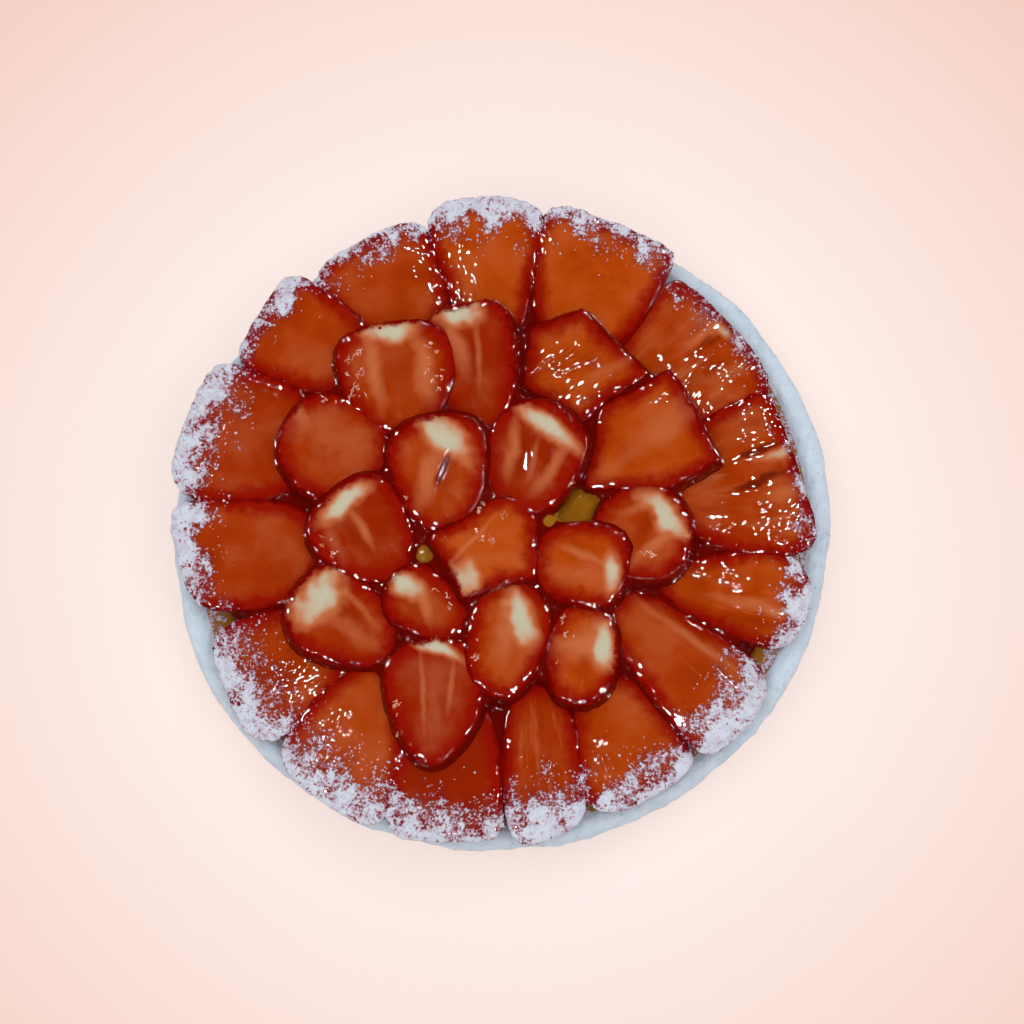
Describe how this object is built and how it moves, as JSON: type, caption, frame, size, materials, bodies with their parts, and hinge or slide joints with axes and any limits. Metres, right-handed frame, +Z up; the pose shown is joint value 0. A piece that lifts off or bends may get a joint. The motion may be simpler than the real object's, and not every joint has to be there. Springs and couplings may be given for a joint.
{
  "type": "strawberry tart",
  "caption": "Round pastry tart filled with custard and covered with overlapping glazed strawberry slices and halves, dusted with icing sugar round the rim.",
  "frame": {"origin": "middle of the crust's flat underside", "axes": "+Z up out of the filling; +Y towards the rim slice whose leafy end reaches furthest over the lip; +X to the right of that seen from above"},
  "size_m": [0.2028, 0.2008, 0.0476],
  "materials": {
    "crust": "dry baked pastry dusted with icing sugar",
    "custard": "set custard under a thin glaze",
    "strawberry": "wet cut flesh under clear glaze"
  },
  "bodies": {
    "root": {"crust": "crust", "custard": "custard", "rim_slice_01": "strawberry", "rim_slice_02": "strawberry", "rim_slice_03": "strawberry", "rim_slice_04": "strawberry", "rim_slice_05": "strawberry", "rim_slice_06": "strawberry", "rim_slice_07": "strawberry", "rim_slice_08": "strawberry", "rim_slice_09": "strawberry", "rim_slice_10": "strawberry", "rim_slice_11": "strawberry", "rim_slice_12": "strawberry", "rim_slice_13": "strawberry", "rim_slice_14": "strawberry", "rim_slice_15": "strawberry", "middle_half_01": "strawberry", "middle_half_02": "strawberry", "middle_slice_03": "strawberry", "middle_slice_04": "strawberry", "middle_half_05": "strawberry", "middle_half_06": "strawberry", "middle_half_07": "strawberry", "middle_half_08": "strawberry", "middle_half_09": "strawberry", "middle_half_10": "strawberry", "middle_half_11": "strawberry", "middle_half_12": "strawberry", "middle_half_13": "strawberry", "middle_half_14": "strawberry", "middle_half_15": "strawberry", "middle_half_16": "strawberry"}
  },
  "joints": []
}
